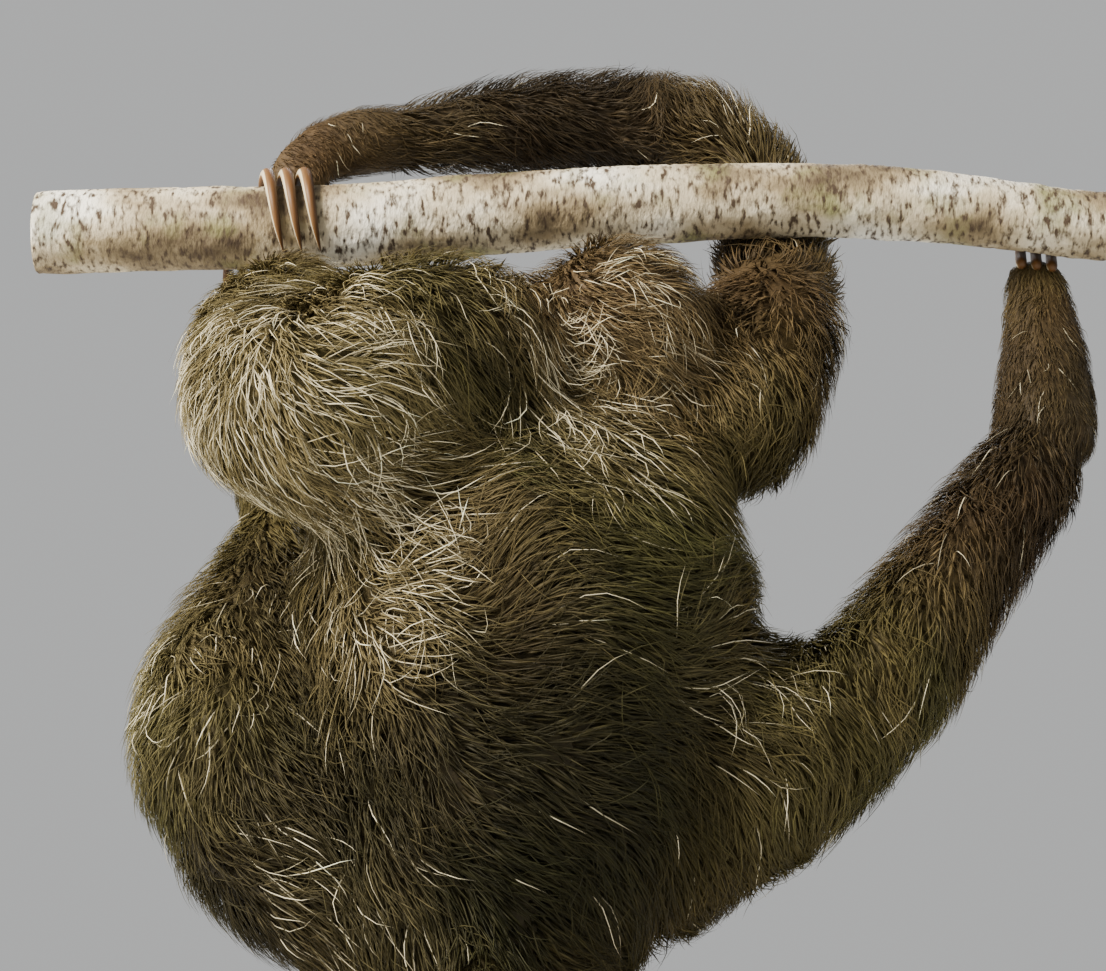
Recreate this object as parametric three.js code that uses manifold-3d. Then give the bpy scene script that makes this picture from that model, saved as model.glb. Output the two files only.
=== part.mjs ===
// A three-toed sloth, life size, hanging upright under a cut length of branch with its back to -Y.
// Millimetres, +Z up. The origin is the middle of the display base, on the floor.
// Every flesh solid reaches out to the tips of the coat.
import * as THREE from 'three';
import { mergeVertices } from 'three/addons/utils/BufferGeometryUtils.js';
import ManifoldModule from 'manifold-3d';

const wasm = await ManifoldModule();
wasm.setup();
const { Manifold, Mesh } = wasm;

// ---- driving dimensions ----
const GAP = 0.7; // clearance round a piece that sits in another
const PERCH_Y = 45; // the branch's axis lies this far behind the base's middle
const PERCH_RADIUS = 21.5;
const PERCH_END_RADIUS = 17.5; // the branch is thinner at its right end
const PERCH_ENDS = [-262, 280]; // where it is cut, along X
const PERCH_WANDER = 0.5; // unevenness of its girth
const KNOT = { x: -62, turn: 2.4, height: 2.4, spread: 20 };
const BASE = { width: 360, depth: 300, height: 20, corner: 24, bevel: 2 };
const ROD = { radius: 6, sides: 16, spread: 32, x: -36, y: -12, reach: 60 };
const FORE_CLAW = { count: 3, length: 76, width: 4.1, depth: 4.6, spacing: 9.3 };
const HIND_CLAW = { count: 3, length: 58, width: 3.3, depth: 4.0, spacing: 7.8 };
const CLAW_TIP = 0.45; // half thickness left at a claw's point
const CLAW_CLEARANCE = 2; // between a claw and the bark
const EYE_RADIUS = 5.4;

// Colours of the plain solids
const COLOUR = {
  coat: 0x6f6449,
  bark: 0xa79f8c,
  claw: 0xb58d5c,
  eye: 0x120c08,
  nose: 0x1d1713,
  base: 0x2e2b28,
  rod: 0x8c8f93,
};

// ---- helpers: geometry classes bent into shape, and booleans ----
const toVector = ([x, y, z]) => new THREE.Vector3(x, y, z);

function toManifold(geometry) {
  const plain = geometry.clone();
  plain.deleteAttribute('normal');
  plain.deleteAttribute('uv');
  const merged = mergeVertices(plain, 1e-4);
  const mesh = new Mesh({
    numProp: 3,
    vertProperties: new Float32Array(merged.attributes.position.array),
    triVerts: new Uint32Array(merged.index.array),
  });
  mesh.merge();
  return new Manifold(mesh);
}

function toGeometry(manifold) {
  const mesh = manifold.getMesh();
  const geometry = new THREE.BufferGeometry();
  geometry.setAttribute('position', new THREE.BufferAttribute(new Float32Array(mesh.vertProperties), 3));
  geometry.setIndex(new THREE.BufferAttribute(new Uint32Array(mesh.triVerts), 1));
  geometry.computeVertexNormals();
  return geometry;
}

// The largest single body that is left after a cut.
function largestBody(manifold) {
  const bodies = manifold.decompose();
  return bodies.reduce((best, body) => (body.volume() > best.volume() ? body : best));
}

// A rounded bar along a curve. Each station is [x, y, z, half width, half depth]. The bar is a sphere
// whose rows are carried along the curve, so it is closed and round at both ends.
function bar(stations, { sides = 14, rows = 9, capRows = 2, across = [1, 0, 0], grow = 0, cap = 0.75 } = {}) {
  const path = new THREE.CatmullRomCurve3(stations.map(toVector), false, 'centripetal');
  const lastStation = stations.length - 1;
  const sizes = new THREE.CatmullRomCurve3(
    stations.map(([, , , width, depth], i) => new THREE.Vector3(width, depth, i / lastStation)),
  );
  const allRows = rows + 2 * capRows;
  const geometry = new THREE.SphereGeometry(1, sides, allRows);
  const position = geometry.attributes.position;
  const reference = toVector(across).normalize();
  for (let i = 0; i < position.count; i += 1) {
    const row = Math.floor(i / (sides + 1));
    const turn = ((i % (sides + 1)) / sides) * 2 * Math.PI;
    const fromStart = Math.min(row / capRows, 1);
    const fromEnd = Math.min((allRows - row) / capRows, 1);
    const t = THREE.MathUtils.clamp((row - capRows) / rows, 0, 1);
    const centre = path.getPoint(t);
    const tangent = path.getTangent(t);
    const side = reference.clone().addScaledVector(tangent, -reference.dot(tangent)).normalize();
    const back = new THREE.Vector3().crossVectors(tangent, side);
    const size = sizes.getPoint(t);
    const capAngle = (1 - Math.min(fromStart, fromEnd)) * (Math.PI / 2);
    const round = Math.cos(capAngle);
    const capReach = Math.sin(capAngle) * (cap * Math.min(size.x, size.y) + grow);
    const direction = fromStart < 1 ? -1 : 1;
    const vertex = centre
      .addScaledVector(tangent, direction * capReach)
      .addScaledVector(side, -Math.cos(turn) * round * (size.x + grow))
      .addScaledVector(back, Math.sin(turn) * round * (size.y + grow));
    position.setXYZ(i, vertex.x, vertex.y, vertex.z);
  }
  return toManifold(geometry);
}

function ellipsoid(centre, radii, { sides = 16, rows = 10, grow = 0 } = {}) {
  const geometry = new THREE.SphereGeometry(1, sides, rows);
  geometry.rotateX(Math.PI / 2);
  geometry.scale(...radii.map((radius) => radius + grow));
  geometry.translate(...centre);
  return toManifold(geometry);
}

// ---- the perch ----
const PERCH_AXIS = new THREE.CatmullRomCurve3([
  new THREE.Vector3(PERCH_ENDS[0], PERCH_Y, 506),
  new THREE.Vector3(-103, PERCH_Y, 510),
  new THREE.Vector3(24, PERCH_Y, 519),
  new THREE.Vector3(141, PERCH_Y, 523),
  new THREE.Vector3(PERCH_ENDS[1], PERCH_Y, 509),
]);

function perchRadius(x) {
  const share = THREE.MathUtils.clamp(THREE.MathUtils.inverseLerp(...PERCH_ENDS, x), 0, 1);
  return THREE.MathUtils.lerp(PERCH_RADIUS, PERCH_END_RADIUS, share ** 2);
}

// The point of the branch's axis that has this x.
function perchAt(x) {
  let low = 0;
  let high = 1;
  for (let i = 0; i < 24; i += 1) {
    const middle = (low + high) / 2;
    if (PERCH_AXIS.getPoint(middle).x < x) {
      low = middle;
    } else {
      high = middle;
    }
  }
  return PERCH_AXIS.getPoint(low);
}

// A cut branch: flat ends, a slow wander in its girth, and the swelling of an old knot.
function perch(grow = 0) {
  const sides = 14;
  const rows = 15;
  const geometry = new THREE.CylinderGeometry(1, 1, 1, sides, rows);
  geometry.rotateZ(Math.PI / 2);
  const position = geometry.attributes.position;
  for (let i = 0; i < position.count; i += 1) {
    const along = 0.5 - position.getX(i);
    const centre = PERCH_AXIS.getPoint(along);
    const tangent = PERCH_AXIS.getTangent(along);
    const y = position.getY(i);
    const z = position.getZ(i);
    const turn = Math.atan2(z, y);
    const wander = Math.sin(centre.x / 31 + turn) + 0.8 * Math.cos(centre.x / 19 - 2 * turn);
    const nearKnot = Math.exp(-(((centre.x - KNOT.x) / KNOT.spread) ** 2)) * Math.max(0, Math.cos(turn - KNOT.turn));
    const radius = perchRadius(centre.x) + PERCH_WANDER * wander + KNOT.height * nearKnot + grow;
    const side = new THREE.Vector3(0, 1, 0);
    const up = new THREE.Vector3().crossVectors(tangent, side);
    const end = (along < 1e-6 ? -grow : 0) + (along > 1 - 1e-6 ? grow : 0);
    const vertex = centre
      .addScaledVector(tangent, end)
      .addScaledVector(side, -y * radius)
      .addScaledVector(up, z * radius);
    position.setXYZ(i, vertex.x, vertex.y, vertex.z);
  }
  return toManifold(geometry);
}

// ---- claws ----
// A claw hooks round the branch. Turns are measured about the branch's axis from straight behind it:
// a quarter turn is its top and half a turn is its front.
function clawStations(kind, x, drift, startTurn) {
  const steps = 6;
  const hook = kind.length / (PERCH_RADIUS + kind.depth);
  const stations = [];
  for (let i = 0; i <= steps; i += 1) {
    const share = i / steps;
    const taper = (1 - share ** 1.8) ** 0.6;
    const width = Math.max(CLAW_TIP, kind.width * taper);
    const depth = Math.max(CLAW_TIP, kind.depth * taper);
    const turn = startTurn + hook * share;
    const centre = perchAt(x + drift * share);
    const reach = perchRadius(centre.x) + CLAW_CLEARANCE + depth;
    stations.push([centre.x, centre.y + reach * Math.cos(turn), centre.z + reach * Math.sin(turn), width, depth]);
  }
  return stations;
}

// ---- stations of each bar of flesh: [x, y, z, half width, half depth] ----
const TRUNK = [
  [-4, -33, 360, 96, 61],
  [-9, -38, 318, 112, 79],
  [-14, -40, 262, 104, 88],
  [-25, -38, 204, 98, 90],
  [-34, -24, 150, 86, 80],
  [-36, -12, 124, 66, 62],
];
const NECK = [
  [31, -15, 407, 44, 42],
  [26, -20, 374, 50, 45],
  [21, -26, 352, 60, 50],
];
const TAIL = [
  [-32, -72, 140, 20, 18],
  [-30, -100, 128, 18, 17],
  [-28, -124, 117, 13, 12],
];

const LIMBS = {
  left: {
    upper_arm: [[-36, -42, 421, 59, 55], [-80, -72, 402, 60, 57], [-118, -97, 376, 55, 50]],
    forearm: [[-123, -98, 380, 50, 50], [-135, -58, 418, 43, 43], [-126, -10, 456, 34, 33]],
    hand: [[-127, 2, 466, 25, 20], [-130, 22, 470, 23, 16], [-132, 42, 472, 19, 13]],
    thigh: [[-48, -20, 178, 66, 62], [-98, -34, 182, 60, 58], [-142, -40, 208, 54, 54]],
    shank: [[-150, -40, 220, 52, 52], [-153, -20, 262, 49, 50], [-142, 10, 312, 35, 38], [-134, 34, 348, 27, 30]],
    foot: [[-136, 40, 356, 23, 25], [-148, 54, 410, 20, 20], [-157, 63, 462, 18, 15], [-158, 68, 486, 17, 10]],
  },
  right: {
    upper_arm: [[84, -8, 392, 48, 46], [109, 23, 450, 43, 38], [114, 92, 520, 35, 31], [104, 106, 564, 31, 31]],
    forearm: [[88, 107, 579, 32, 31], [4, 103, 583, 32, 30], [-78, 86, 569, 25, 23]],
    hand: [[-84, 84, 568, 21, 22], [-110, 77, 562, 17, 20], [-127, 69, 551, 13, 18], [-133, 61, 536, 11, 18]],
    thigh: [[38, -14, 204, 66, 62], [96, -26, 227, 54, 54], [147, -28, 258, 42, 44]],
    shank: [[152, -26, 263, 42, 44], [189, -8, 316, 36, 40], [238, 24, 382, 33, 34]],
    foot: [[242, 28, 392, 30, 31], [248, 46, 436, 26, 24], [248, 58, 470, 20, 15], [247, 64, 492, 17, 10]],
  },
};

// The right hand bends down over the branch, so its width lies along Y; other bars find their own.
const ACROSS = { right_hand: [0, 1, 0] };

// Where each limb's claws leave it: the middle claw's place along the branch, the drift of its point,
// and the turn about the branch at its root.
const GRIPS = {
  left_hand: { kind: FORE_CLAW, x: -132, drift: 2, turn: -1.95 },
  right_hand: { kind: FORE_CLAW, x: -139, drift: 13, turn: 1.06 },
  left_foot: { kind: HIND_CLAW, x: -158, drift: -4, turn: -1.15 },
  right_foot: { kind: HIND_CLAW, x: 247, drift: 4, turn: -1.15 },
};

// ---- the head, in its own frame: nose to +Y, the middle of the skull at the origin ----
const HEAD = {
  place: new THREE.Vector3(31, -18, 438),
  yaw: -0.26,
  pitch: 0.2,
  skull: { centre: [0, -4, 2], radii: [52, 47, 51] },
  face: { centre: [0, 24, -6], radii: [38, 31, 36] },
  muzzle: { centre: [0, 44, -15], radii: [20, 17, 16] },
};
const EYES = { spread: 17, forward: 46, height: 4 };
const NOSE = { centre: [0, 59.5, -9], radii: [8, 4.5, 5.5] };

const headTurn = new THREE.Euler(HEAD.pitch, 0, HEAD.yaw, 'ZXY');
const headFrame = new THREE.Matrix4().makeRotationFromEuler(headTurn).setPosition(HEAD.place);

const inHead = (manifold) => manifold.transform(headFrame.toArray());

function head(grow = 0) {
  const skull = ellipsoid(HEAD.skull.centre, HEAD.skull.radii, { sides: 16, rows: 10, grow });
  const face = ellipsoid(HEAD.face.centre, HEAD.face.radii, { sides: 12, rows: 8, grow });
  const muzzle = ellipsoid(HEAD.muzzle.centre, HEAD.muzzle.radii, { sides: 10, rows: 7, grow });
  return inHead(skull.add(face).add(muzzle));
}

function eye(side, grow = 0) {
  const centre = [side * EYES.spread, EYES.forward, EYES.height];
  const radius = EYE_RADIUS;
  return inHead(ellipsoid(centre, [radius, radius, radius], { sides: 10, rows: 6, grow }));
}

const nose = (grow = 0) => inHead(ellipsoid(NOSE.centre, NOSE.radii, { sides: 10, rows: 7, grow }));

// ---- the stand ----
function standBase() {
  const { width, depth, height, corner, bevel } = BASE;
  const outline = new THREE.Shape();
  const halfWidth = width / 2 - bevel;
  const halfDepth = depth / 2 - bevel;
  outline.moveTo(-halfWidth + corner, -halfDepth);
  outline.lineTo(halfWidth - corner, -halfDepth);
  outline.absarc(halfWidth - corner, -halfDepth + corner, corner, -Math.PI / 2, 0);
  outline.absarc(halfWidth - corner, halfDepth - corner, corner, 0, Math.PI / 2);
  outline.absarc(-halfWidth + corner, halfDepth - corner, corner, Math.PI / 2, Math.PI);
  outline.absarc(-halfWidth + corner, -halfDepth + corner, corner, Math.PI, 1.5 * Math.PI);
  const geometry = new THREE.ExtrudeGeometry(outline, {
    depth: height - 2 * bevel,
    bevelThickness: bevel,
    bevelSize: bevel,
    bevelSegments: 1,
    curveSegments: 3,
  });
  geometry.translate(0, 0, bevel);
  return toManifold(geometry);
}

function standRod(side, grow = 0) {
  const length = ROD.reach + BASE.height;
  const geometry = new THREE.CylinderGeometry(ROD.radius + grow, ROD.radius + grow, length, ROD.sides);
  geometry.rotateX(Math.PI / 2);
  geometry.translate(ROD.x + side * ROD.spread, ROD.y, length / 2 + BASE.height + GAP);
  return toManifold(geometry);
}

// ---- assembly: each piece is cut clear of those placed before it ----
const sloth = new THREE.Group();
const placed = [];

function place(name, solid, grown, { colour, roughness = 0.9, metalness = 0 }) {
  let shape = solid;
  for (const other of placed) {
    shape = shape.subtract(other);
  }
  const material = new THREE.MeshStandardMaterial({ color: colour, roughness, metalness });
  const mesh = new THREE.Mesh(toGeometry(largestBody(shape)), material);
  mesh.name = name;
  sloth.add(mesh);
  placed.push(grown);
}

const COAT = { colour: COLOUR.coat };

function placeBar(name, stations, options, look = COAT) {
  place(name, bar(stations, options), bar(stations, { ...options, grow: GAP }), look);
}

place('perch', perch(), perch(GAP), { colour: COLOUR.bark });

for (const [limb, grip] of Object.entries(GRIPS)) {
  for (let i = 0; i < grip.kind.count; i += 1) {
    const x = grip.x + (i - (grip.kind.count - 1) / 2) * grip.kind.spacing;
    const stations = clawStations(grip.kind, x, grip.drift, grip.turn);
    const options = { sides: 8, rows: 6, capRows: 1 };
    placeBar(`${limb}_claw_${i + 1}`, stations, options, { colour: COLOUR.claw, roughness: 0.4 });
  }
}

place('nose', nose(), nose(GAP), { colour: COLOUR.nose, roughness: 0.35 });
place('eye_left', eye(-1), eye(-1, GAP), { colour: COLOUR.eye, roughness: 0.1 });
place('eye_right', eye(1), eye(1, GAP), { colour: COLOUR.eye, roughness: 0.1 });

placeBar('trunk', TRUNK, { sides: 20, rows: 11, capRows: 3 });
place('head', head(), head(GAP), COAT);
placeBar('neck', NECK, { sides: 12, rows: 2, capRows: 2 });
placeBar('tail', TAIL, { sides: 10, rows: 3, capRows: 2 });

function acrossOf(stations) {
  const along = toVector(stations.at(-1)).sub(toVector(stations[0]));
  return Math.abs(along.x) > Math.abs(along.z) ? [0, 0, 1] : [1, 0, 0];
}

for (const [side, limb] of Object.entries(LIMBS)) {
  for (const [segment, stations] of Object.entries(limb)) {
    const name = `${side}_${segment}`;
    const across = ACROSS[name] ?? acrossOf(stations);
    const isEnd = segment === 'hand' || segment === 'foot';
    const fineness = isEnd ? { sides: 10, rows: 4 } : { sides: 12, rows: 6 };
    placeBar(name, stations, { across, capRows: 2, ...fineness });
  }
}

place('stand_base', standBase(), standBase(), { colour: COLOUR.base, roughness: 0.5 });
for (const [index, side] of [-1, 1].entries()) {
  const look = { colour: COLOUR.rod, roughness: 0.3, metalness: 1 };
  place(`stand_rod_${index + 1}`, standRod(side), standRod(side, GAP), look);
}

export default sloth;
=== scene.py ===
import math

import bmesh
import bpy
import numpy as np
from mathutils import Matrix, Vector
from mathutils.bvhtree import BVHTree
from mathutils.kdtree import KDTree


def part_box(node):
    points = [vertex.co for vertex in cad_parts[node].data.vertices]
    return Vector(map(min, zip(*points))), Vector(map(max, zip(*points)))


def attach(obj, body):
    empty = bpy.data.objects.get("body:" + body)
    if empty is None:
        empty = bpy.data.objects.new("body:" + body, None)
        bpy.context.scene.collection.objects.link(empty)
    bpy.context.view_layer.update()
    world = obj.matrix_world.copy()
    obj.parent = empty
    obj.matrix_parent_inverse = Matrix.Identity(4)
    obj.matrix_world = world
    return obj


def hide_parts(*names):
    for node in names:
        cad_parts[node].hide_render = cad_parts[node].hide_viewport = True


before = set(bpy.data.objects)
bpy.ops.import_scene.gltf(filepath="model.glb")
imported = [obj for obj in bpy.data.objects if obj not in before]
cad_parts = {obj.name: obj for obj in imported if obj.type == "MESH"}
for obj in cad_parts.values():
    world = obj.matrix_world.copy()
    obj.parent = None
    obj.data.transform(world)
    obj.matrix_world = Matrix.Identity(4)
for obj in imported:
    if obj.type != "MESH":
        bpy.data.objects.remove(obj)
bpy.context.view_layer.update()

MM = 0.001
RNG = np.random.default_rng(7)

# ---- the coat: depth over the skin and length of the long hairs, in millimetres, by body part ----
COAT = {
    "trunk": (14.0, 42.0),
    "neck": (13.0, 32.0),
    "head": (10.0, 24.0),
    "tail": (6.0, 16.0),
    "upper_arm": (12.0, 36.0),
    "forearm": (9.5, 29.0),
    "hand": (2.6, 14.0),
    "thigh": (12.0, 37.0),
    "shank": (10.0, 32.0),
    "foot": (2.8, 17.0),
}
SIDES = {"left": -1.0, "right": 1.0}  # which way along the head's own right each side lies
LIMBS = {"arm": ("upper_arm", "forearm", "hand"), "leg": ("thigh", "shank", "foot")}
FLESH = ["trunk", "neck", "head", "tail"]
FLESH += [f"{side}_{part}" for side in SIDES for parts in LIMBS.values() for part in parts]
HEAD_COLUMN = [FLESH.index("head")]

VOXEL = 3.2 * MM  # of the skin's remesh
SWELL = 1.2 * MM  # closes the gaps between the solids before they become one skin
WELD = 0.01 * MM  # corners nearer than this are one corner
FACE_DEPTH = 2.2 * MM  # how far the skin lies under the solids on the face
FACE_HAIR = {"length": 5.5 * MM, "rise": 1.6 * MM}
FACE_EDGE = (-24.0 * MM, -12.0 * MM)  # where the face begins, forward of the eyes' middle

# How the hair lies: places on the coat in millimetres, and the way that the hair runs there.
# These first ones are on the back of the animal, as it is seen from -Y: (x, y, z, run along X, run along Z).
BACK_STROKES = [
    (-175, -25, 433, -0.4, -0.9),
    (-143, -15, 465, 0.5, -0.85),
    (-151, -75, 368, 0.45, -0.9),
    (-120, -90, 342, 0.75, -0.65),
    (-121, -85, 418, -0.5, -0.85),
    (-106, -105, 397, 0.9, 0.2),
    (-92, -105, 385, 0.8, -0.6),
    (-119, -105, 385, -0.3, -0.9),
    (-56, -95, 420, 0.6, -0.8),
    (-24, -85, 390, 0.45, -0.9),
    (-69, -95, 341, 0.95, -0.1),
    (-38, -85, 334, 0.95, 0.15),
    (-102, -75, 317, 0.8, -0.6),
    (-69, -95, 286, 0.97, -0.2),
    (-107, -65, 281, 0.45, -0.9),
    (-15, -115, 306, 0.6, 0.5),
    (-67, -115, 230, 0.8, -0.6),
    (-32, -130, 237, 0.97, -0.15),
    (7, -120, 251, 0.95, 0.25),
    (63, -75, 289, 0.85, 0.4),
    (-59, -105, 187, 0.6, -0.8),
    (-14, -115, 195, 0.9, -0.4),
    (-68, -95, 148, 0.5, -0.85),
    (-15, -95, 135, 0.7, -0.7),
    (27, -55, 430, 0.9, -0.2),
    (-11, -45, 433, -0.5, -0.85),
    (8, -60, 376, 0.25, -0.97),
    (60, -45, 408, 0.85, -0.5),
    (59, -55, 372, 0.9, -0.4),
    (30, -95, 332, 0.8, -0.55),
    (102, 5, 445, -0.15, -1.0),
    (99, -25, 374, -0.3, -0.95),
    (-162, -25, 297, 0.15, -1.0),
    (-198, -15, 260, -0.1, -1.0),
    (-161, -65, 217, 0.3, -0.95),
    (-142, -65, 176, 0.9, -0.4),
]
# The others are out of the photo's sight: (x, y, z, run along X, Y and Z).
OTHER_STROKES = [
    (-40, 45, 300, -0.7, 0.0, -0.7),  # belly, parted down its middle
    (20, 45, 300, 0.8, 0.0, -0.6),
    (-60, 45, 220, -0.7, 0.0, -0.7),
    (10, 45, 220, 0.8, 0.0, -0.6),
    (-35, 40, 150, 0.0, 0.0, -1.0),
    (-110, 0, 260, 0.0, -0.7, -0.7),
    (90, 0, 260, 0.0, -0.6, -0.8),
    (20, 30, 370, 0.0, 0.0, -1.0),  # throat
    (85, 100, 600, -0.6, 0.5, 0.6),  # right arm, elbow and forearm
    (115, 70, 500, 0.1, 0.6, 0.8),
    (5, 125, 590, 1.0, 0.1, -0.3),
    (-70, 100, 580, 1.0, 0.1, -0.1),
    (5, 80, 615, 1.0, -0.1, 0.0),
    (-70, 65, 590, 1.0, 0.0, 0.1),
    (-125, -60, 440, 0.0, -0.6, -0.8),  # left forearm's inner side
    (-110, -20, 430, 0.2, -0.4, -0.9),
    (-140, 60, 420, 0.0, -0.1, -1.0),  # left foot and shank
    (-140, 60, 340, 0.0, -0.3, -0.9),
    (-150, 20, 260, -0.2, -0.3, -0.9),
    (-110, 10, 190, 0.2, -0.4, -0.9),
    (245, 60, 440, 0.0, -0.1, -1.0),  # right foot, shank and thigh
    (245, 20, 380, -0.1, -0.2, -1.0),
    (200, -40, 310, -0.4, -0.2, -0.9),
    (200, 30, 310, -0.3, -0.2, -0.9),
    (150, -60, 250, 0.3, -0.2, -0.9),
    (120, 10, 230, 0.2, -0.2, -0.95),
    (60, -60, 190, 0.5, -0.1, -0.85),
    (-30, -110, 130, 0.0, -0.7, -0.7),  # tail
]
STROKE_REACH = 26.0 * MM  # how far a stroke tells on its surroundings
SWIRL = 0.28  # how much the hair swirls about its run
SWIRL_SIZE = 34.0 * MM

# Patches of the coat's colour, the dark ones partly painted shade: (x, y, z, radius) in millimetres and how
# strong the patch is.
PALE_PATCHES = [
    (-120, -100, 400, 62, 1.0),
    (-108, -115, 352, 40, 0.9),
    (-86, -105, 322, 36, 1.0),
    (-90, -90, 285, 36, 0.85),
    (-170, -40, 400, 50, 0.7),
    (-45, -110, 315, 30, 0.25),
    (-8, -55, 430, 27, 0.9),
    (12, -65, 390, 20, 0.8),
    (5, -70, 385, 32, 0.45),
    (38, -60, 425, 38, 0.9),
    (85, -70, 270, 40, 0.4),
    (-170, -30, 290, 60, 0.4),
    (-110, -80, 150, 60, 0.5),
]
RED_PATCHES = [
    (30, -50, 440, 42, 0.9),
    (90, 20, 470, 60, 0.6),
    (0, 90, 590, 130, 0.55),
    (-130, 60, 555, 40, 0.7),
    (-128, 10, 472, 26, 0.3),
    (215, -10, 350, 60, 0.6),
    (248, 50, 430, 65, 0.5),
    (-60, -110, 300, 60, 0.35),
]
GREEN_PATCHES = [
    (-20, -120, 230, 90, 0.9),
    (-160, -40, 240, 70, 0.7),
    (-40, -90, 400, 50, 0.5),
    (30, -90, 330, 70, 0.7),
    (-40, -80, 150, 80, 0.6),
    (150, -40, 250, 60, 0.6),
]
# Dark patches: partly the coat's own darker olive, partly painted shade where the fur lies in shadow: in the
# creases between the left arm, thigh and trunk, on the lower torso, and on the right arm and right leg.
DARK_AND_SHADE_PATCHES = [
    (-20, -100, 180, 105, 0.9),
    (20, -110, 250, 90, 0.6),
    (-45, -110, 235, 60, 0.5),
    (-130, -75, 190, 50, 0.5),
    (-135, -20, 330, 26, 0.8),
    (0, 90, 590, 160, 0.95),
    (110, 20, 470, 50, 0.35),
    (-35, -85, 412, 38, 0.65),
    (-130, -35, 300, 30, 0.85),
    (-122, -50, 255, 24, 0.8),
    (-112, -80, 212, 38, 0.9),
    (-142, -60, 165, 48, 0.8),
    (225, 5, 370, 105, 0.85),
    (248, 50, 440, 60, 0.6),
]

BLOTCH = 26.0 * MM  # the size of the coat's broad and fine changes of tone
FINE_BLOTCH = 9.0 * MM
UNDER_BROWN = (0.034, 0.022, 0.012)
OLIVE = (0.113, 0.090, 0.029)
GREEN_OLIVE = (0.074, 0.076, 0.020)
RED_BROWN = (0.165, 0.090, 0.040)
PALE_BROWN = (0.385, 0.300, 0.145)
STRAW = (0.960, 0.860, 0.600)
FACE_CREAM = (0.500, 0.400, 0.250)
FACE_MUZZLE = (0.230, 0.160, 0.100)
FACE_BROW = (0.150, 0.105, 0.055)
FACE_STRIPE = (0.040, 0.024, 0.013)


# ---- arrays ----
def unit(vectors):
    """The vectors, each of length one."""
    length = np.linalg.norm(vectors, axis=-1, keepdims=True)
    return vectors / np.maximum(length, 1e-9)


def dot(a, b):
    return (a * b).sum(-1, keepdims=True)


def smooth_step(low, high, value):
    """From 0 at the low end to 1 at the high end."""
    share = np.clip((value - low) / (high - low), 0.0, 1.0)
    return share * share * (3.0 - 2.0 * share)


def bell(value):
    """One at nought, falling off to either side."""
    return np.exp(-(value**2))


def mix(a, b, share):
    return np.asarray(a) * (1.0 - share) + np.asarray(b) * share


NOISE_SIDE = 32
NOISE_TABLE = RNG.uniform(-1.0, 1.0, (NOISE_SIDE, NOISE_SIDE, NOISE_SIDE, 3))


def between_corners(grid, cell, share):
    """The grid's values at these shares of the way through these cells. The grid repeats itself."""
    total = 0.0
    for corner in np.ndindex(2, 2, 2):
        index = (cell + corner) % grid.shape[:3]
        weight = np.where(corner, share, 1.0 - share).prod(-1, keepdims=True)
        total = total + weight * grid[index[..., 0], index[..., 1], index[..., 2]]
    return total


def smooth_noise(points, size, shift=0.0):
    """Three channels of noise from -1 to 1 at these points, with lumps of this size."""
    place = points / size + shift
    cell = np.floor(place).astype(int)
    return between_corners(NOISE_TABLE, cell, smooth_step(0.0, 1.0, place - cell))


def read(items, field, kind=float, width=3):
    """This field of a mesh's vertices, edges or triangles, one row for each."""
    values = np.empty(len(items) * width, kind)
    items.foreach_get(field, values)
    return values.reshape(-1, width)


def read_points(mesh):
    return read(mesh.vertices, "co")


def read_normals(mesh):
    return read(mesh.vertices, "normal")


def write_points(mesh, points):
    mesh.vertices.foreach_set("co", points.astype(np.float32).ravel())
    mesh.update()


def spread(edges, values, rounds, strength=0.5):
    """Each vertex's value drawn towards its neighbours' mean."""
    values = values.copy()
    count = np.bincount(edges.ravel(), minlength=len(values))[:, None]
    for _ in range(rounds):
        total = np.zeros_like(values)
        for here, there in ((0, 1), (1, 0)):
            for channel in range(values.shape[1]):
                pulls = values[edges[:, there], channel]
                total[:, channel] += np.bincount(edges[:, here], pulls, len(values))
        values += strength * (total / np.maximum(count, 1) - values)
    return values


def nearest_rows(points, places):
    """For each place, the row of the point that is nearest to it."""
    tree = KDTree(len(points))
    for row, point in enumerate(points):
        tree.insert(point, row)
    tree.balance()
    return np.array([tree.find(place)[1] for place in places])


def set_values(mesh, name, kind, field, values):
    """Gives each vertex a value of its own under this name."""
    attribute = mesh.attributes.new(name, kind, "POINT")
    attribute.data.foreach_set(field, values.astype(np.float32).ravel())


def to_mesh(name, build):
    """A new mesh of what has been built."""
    mesh = bpy.data.meshes.new(name)
    build.to_mesh(mesh)
    build.free()
    return mesh


def link(name, data):
    """A new object in the scene that shows these data."""
    piece = bpy.data.objects.new(name, data)
    bpy.context.scene.collection.objects.link(piece)
    return piece


def applied(piece):
    """The piece's mesh with its modifiers applied."""
    bpy.context.view_layer.update()
    graph = bpy.context.evaluated_depsgraph_get()
    mesh = bpy.data.meshes.new_from_object(piece.evaluated_get(graph))
    piece.modifiers.clear()
    piece.data = mesh
    return mesh


def centre(node):
    low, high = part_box(node)
    return (np.array(low) + np.array(high)) / 2


def coat_of(node):
    """(depth, length) of the coat on this node, in millimetres."""
    return COAT[node.split("_", 1)[1] if node.startswith(tuple(SIDES)) else node]


COAT_DEPTHS, COAT_LENGTHS = np.array([coat_of(name) for name in FLESH]).T[..., None] * MM


# ---- the head's own frame, from its eyes and nose ----
EYE_CENTRES = {side: centre(f"eye_{side}") for side in SIDES}
NOSE_CENTRE = centre("nose")
HEAD_SIDE = unit(EYE_CENTRES["right"] - EYE_CENTRES["left"])
HEAD_FRONT = NOSE_CENTRE - centre("head")
HEAD_FRONT = unit(HEAD_FRONT - dot(HEAD_FRONT, HEAD_SIDE) * HEAD_SIDE)
HEAD_UP = np.cross(HEAD_SIDE, HEAD_FRONT)
EYE_MIDDLE = (EYE_CENTRES["left"] + EYE_CENTRES["right"]) / 2
EYE_RADIUS = max(np.subtract(*reversed(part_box("eye_left")))) / 2 / MM


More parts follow.
